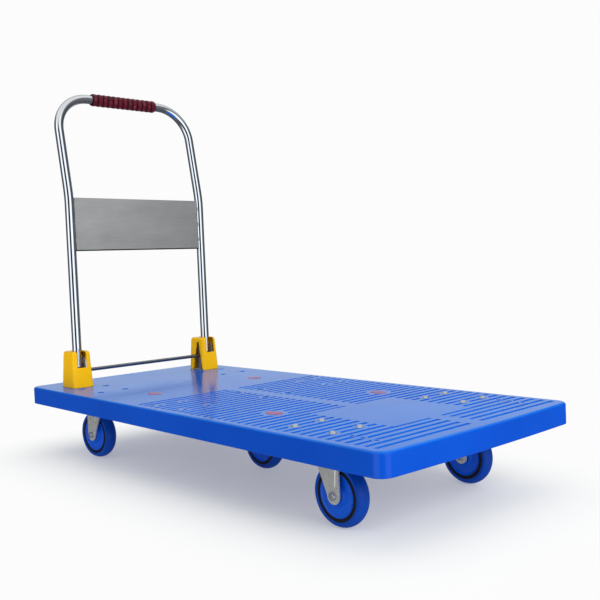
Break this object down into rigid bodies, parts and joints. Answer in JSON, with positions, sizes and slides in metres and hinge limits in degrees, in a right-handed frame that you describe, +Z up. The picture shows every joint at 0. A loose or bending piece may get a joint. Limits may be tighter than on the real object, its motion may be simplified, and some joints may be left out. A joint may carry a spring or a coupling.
{
  "type": "flatbed platform truck",
  "caption": "Flatbed platform truck with a moulded blue deck, a folding tubular handle with a foot release and swivel casters.",
  "frame": {"origin": "on the floor, below the middle of the deck", "axes": "+X along the deck towards its front end, away from the handle, +Y across the deck to the left, +Z up"},
  "size_m": [1.3369, 0.6, 1.0196],
  "materials": {
    "deck_blue": "satin moulded polypropylene",
    "badge_red": "gloss",
    "tyre_blue": "satin thermoplastic rubber",
    "hub_blue": "satin",
    "ring_black": "satin",
    "caster_zinc": "zinc plated, slightly rough",
    "fastener_zinc": "zinc plated",
    "bearing_steel": "ground steel",
    "bracket_steel": "zinc plated",
    "spring_steel": "bright wire",
    "handle_chrome": "polished stainless tube",
    "rod_chrome": "polished",
    "panel_steel": "brushed stainless sheet",
    "grip_maroon": "soft foam rubber",
    "cover_yellow": "satin moulded plastic"
  },
  "bodies": {
    "deck_frame": {"deck": "deck_blue", "oval_badges": "badge_red", "caster_plate_bolts": "fastener_zinc", "caster_plate_nuts": "fastener_zinc", "caster_kingpins": "fastener_zinc", "swivel_bearing_balls": "bearing_steel", "centre_caster_bracket": "caster_zinc", "centre_axle_bolt": "fastener_zinc", "centre_axle_sleeve": "bearing_steel", "right_hinge_bracket": "bracket_steel", "left_hinge_bracket": "bracket_steel", "hinge_pins": "fastener_zinc", "hinge_bolts": "fastener_zinc", "hinge_nuts": "fastener_zinc", "right_hinge_cover": "cover_yellow", "left_hinge_cover": "cover_yellow", "release_springs": "spring_steel", "front_right_caster_plate": "caster_zinc", "front_left_caster_plate": "caster_zinc", "rear_right_caster_plate": "caster_zinc", "rear_left_caster_plate": "caster_zinc"},
    "handle": {"handle_tube": "handle_chrome", "handle_panel": "panel_steel", "grip": "grip_maroon"},
    "release_rod": {"release_rod": "rod_chrome"},
    "front_right_fork": {"front_right_caster_fork": "caster_zinc", "front_right_axle_bolt": "fastener_zinc", "front_right_axle_sleeve": "bearing_steel"},
    "front_right_wheel": {"front_right_tyre": "tyre_blue", "front_right_rim_ring": "ring_black", "front_right_wheel_hub": "hub_blue", "front_right_wheel_bearings": "bearing_steel"},
    "front_left_fork": {"front_left_caster_fork": "caster_zinc", "front_left_axle_bolt": "fastener_zinc", "front_left_axle_sleeve": "bearing_steel"},
    "front_left_wheel": {"front_left_tyre": "tyre_blue", "front_left_rim_ring": "ring_black", "front_left_wheel_hub": "hub_blue", "front_left_wheel_bearings": "bearing_steel"},
    "rear_right_fork": {"rear_right_caster_fork": "caster_zinc", "rear_right_axle_bolt": "fastener_zinc", "rear_right_axle_sleeve": "bearing_steel"},
    "rear_right_wheel": {"rear_right_tyre": "tyre_blue", "rear_right_rim_ring": "ring_black", "rear_right_wheel_hub": "hub_blue", "rear_right_wheel_bearings": "bearing_steel"},
    "rear_left_fork": {"rear_left_caster_fork": "caster_zinc", "rear_left_axle_bolt": "fastener_zinc", "rear_left_axle_sleeve": "bearing_steel"},
    "rear_left_wheel": {"rear_left_tyre": "tyre_blue", "rear_left_rim_ring": "ring_black", "rear_left_wheel_hub": "hub_blue", "rear_left_wheel_bearings": "bearing_steel"},
    "centre_wheel": {"centre_tyre": "tyre_blue", "centre_rim_ring": "ring_black", "centre_wheel_hub": "hub_blue", "centre_wheel_bearings": "bearing_steel"}
  },
  "joints": [
    {"name": "handle_fold", "type": "hinge", "parent": "deck_frame", "child": "handle", "pos_m": [-0.538, 0, 0.257], "axis": [0, 1, 0], "range_deg": [0, 90]},
    {"name": "release_press", "type": "slide", "parent": "deck_frame", "child": "release_rod", "axis": [0, 0, 1], "range_m": [-0.013, 0], "stiffness_N_per_m": 1500, "springref_m": 0.02, "deforming": ["release_springs"]},
    {"name": "front_right_swivel", "type": "hinge", "parent": "deck_frame", "child": "front_right_fork", "pos_m": [0.432, -0.2, 0.1433], "axis": [0, 0, 1], "continuous": true},
    {"name": "front_right_roll", "type": "hinge", "parent": "front_right_fork", "child": "front_right_wheel", "pos_m": [0.465, -0.2, 0.0635], "axis": [0, 1, 0], "continuous": true},
    {"name": "front_left_swivel", "type": "hinge", "parent": "deck_frame", "child": "front_left_fork", "pos_m": [0.432, 0.2, 0.1433], "axis": [0, 0, 1], "continuous": true},
    {"name": "front_left_roll", "type": "hinge", "parent": "front_left_fork", "child": "front_left_wheel", "pos_m": [0.46496, 0.19827, 0.0635], "axis": [0.0523, 0.9986, 0], "continuous": true},
    {"name": "rear_right_swivel", "type": "hinge", "parent": "deck_frame", "child": "rear_right_fork", "pos_m": [-0.432, -0.2, 0.1433], "axis": [0, 0, 1], "continuous": true},
    {"name": "rear_right_roll", "type": "hinge", "parent": "rear_right_fork", "child": "rear_right_wheel", "pos_m": [-0.46487, -0.20288, 0.0635], "axis": [-0.0872, 0.9962, 0], "continuous": true},
    {"name": "rear_left_swivel", "type": "hinge", "parent": "deck_frame", "child": "rear_left_fork", "pos_m": [-0.432, 0.2, 0.1433], "axis": [0, 0, 1], "continuous": true},
    {"name": "rear_left_roll", "type": "hinge", "parent": "rear_left_fork", "child": "rear_left_wheel", "pos_m": [-0.465, 0.2, 0.0635], "axis": [0, 1, 0], "continuous": true},
    {"name": "centre_roll", "type": "hinge", "parent": "deck_frame", "child": "centre_wheel", "pos_m": [0, 0, 0.0635], "axis": [0, 1, 0], "continuous": true}
  ]
}
